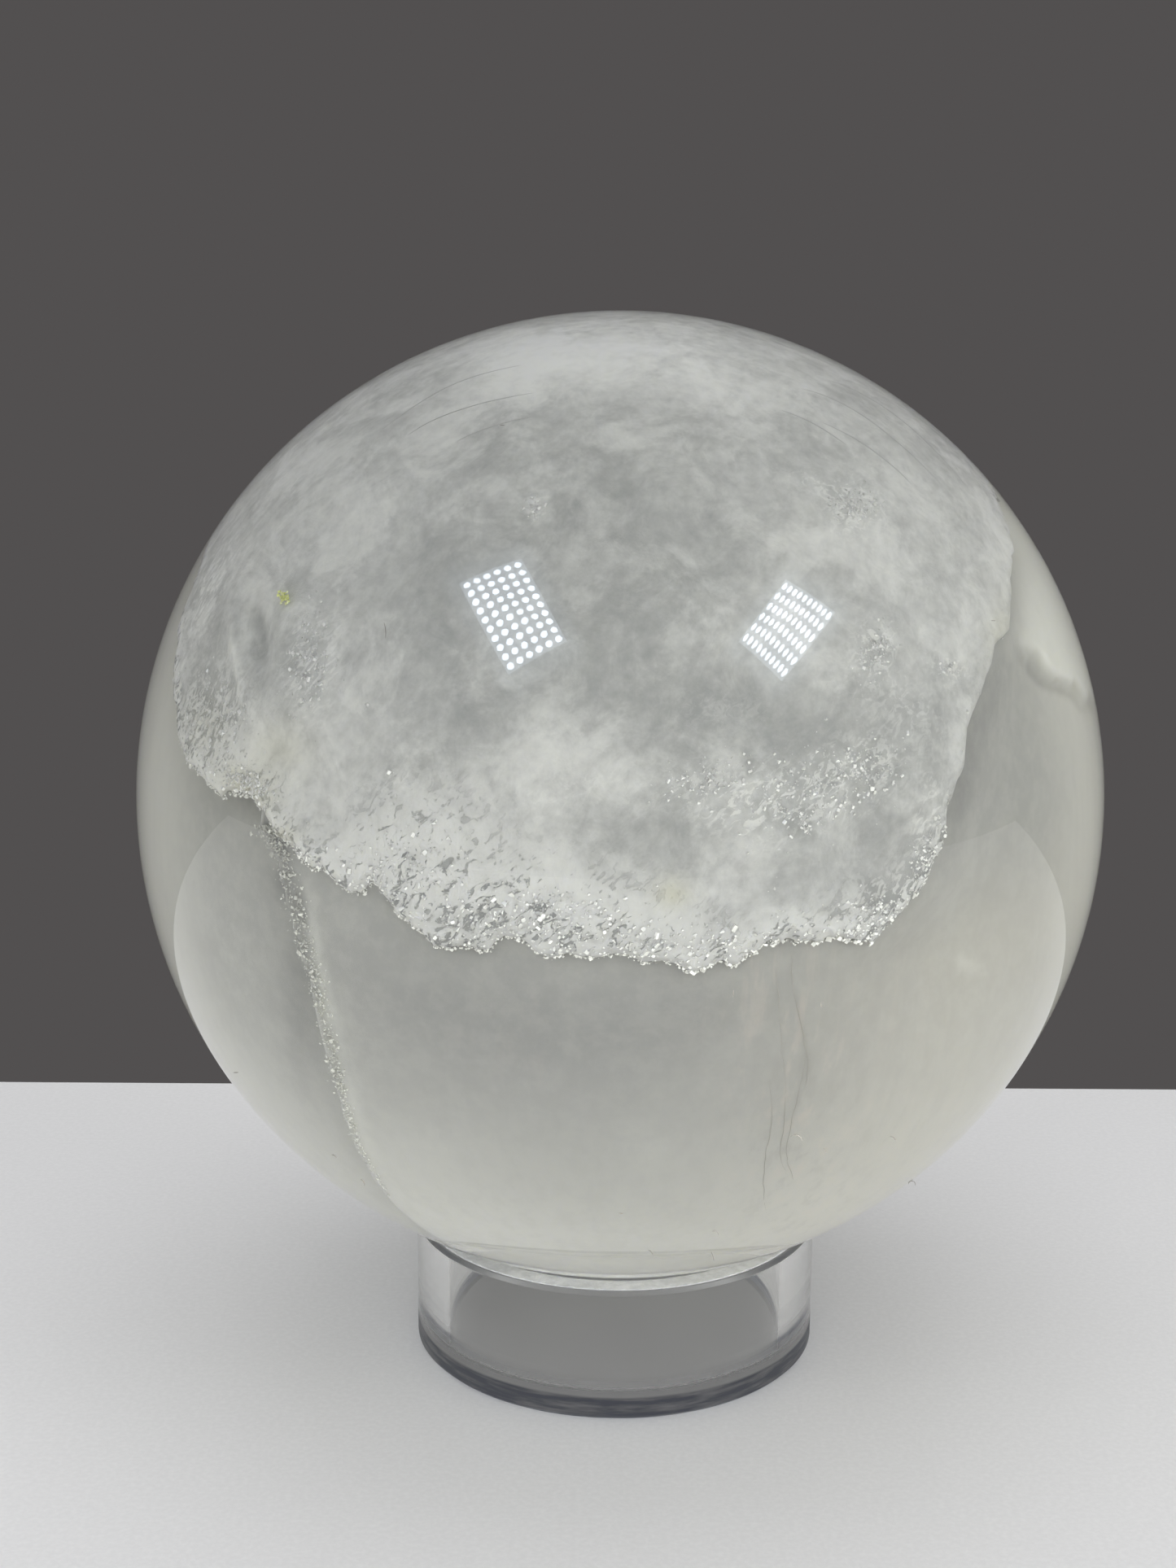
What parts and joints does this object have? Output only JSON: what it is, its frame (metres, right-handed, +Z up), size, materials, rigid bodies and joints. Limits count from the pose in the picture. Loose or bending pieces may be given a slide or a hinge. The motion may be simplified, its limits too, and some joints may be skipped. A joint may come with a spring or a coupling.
{
  "type": "fluorite sphere on a clear stand",
  "caption": "Polished clear and milky fluorite ball that rests in the rim of a low clear acrylic cup stand.",
  "frame": {"origin": "centre of the stand's underside, on the surface it stands on", "axes": "+Z up along the axis of the stand and the ball; the pictured side of the stone faces -Y"},
  "size_m": [0.117, 0.117, 0.1296],
  "materials": {
    "fluorite": "polished, clear with a milky crystalline zone inside",
    "clear_acrylic": "clear, glossy, with sawn and lightly scratched edges"
  },
  "bodies": {
    "root": {"fluorite_sphere": "fluorite", "acrylic_stand": "clear_acrylic"}
  },
  "joints": []
}
